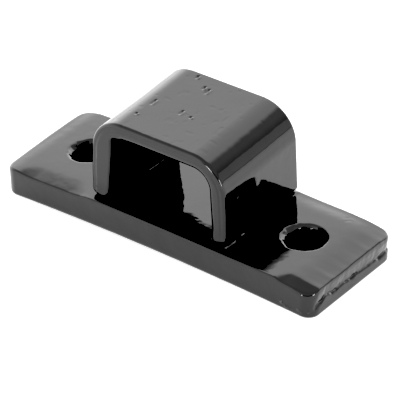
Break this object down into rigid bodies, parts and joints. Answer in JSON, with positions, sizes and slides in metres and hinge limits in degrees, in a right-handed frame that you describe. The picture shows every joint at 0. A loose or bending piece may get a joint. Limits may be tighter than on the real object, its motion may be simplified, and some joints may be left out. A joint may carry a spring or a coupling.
{
  "type": "door bolt receiver bridge",
  "caption": "Flat steel bar with screw holes and an inverted-U strap that receives the sliding bolt of a door or gate.",
  "frame": {"origin": "centre of the plate's back face, the face that lies on the door frame", "axes": "+X along the plate's long side, +Y through the strap along the bolt's path, +Z away from the mounting surface"},
  "size_m": [0.072, 0.025, 0.0243],
  "materials": {
    "black_gloss_paint": "gloss",
    "painted_weld": "satin"
  },
  "bodies": {
    "root": {"base_plate": "black_gloss_paint", "bridge_strap": "black_gloss_paint", "left_tenon_weld": "painted_weld", "right_tenon_weld": "painted_weld"}
  },
  "joints": []
}
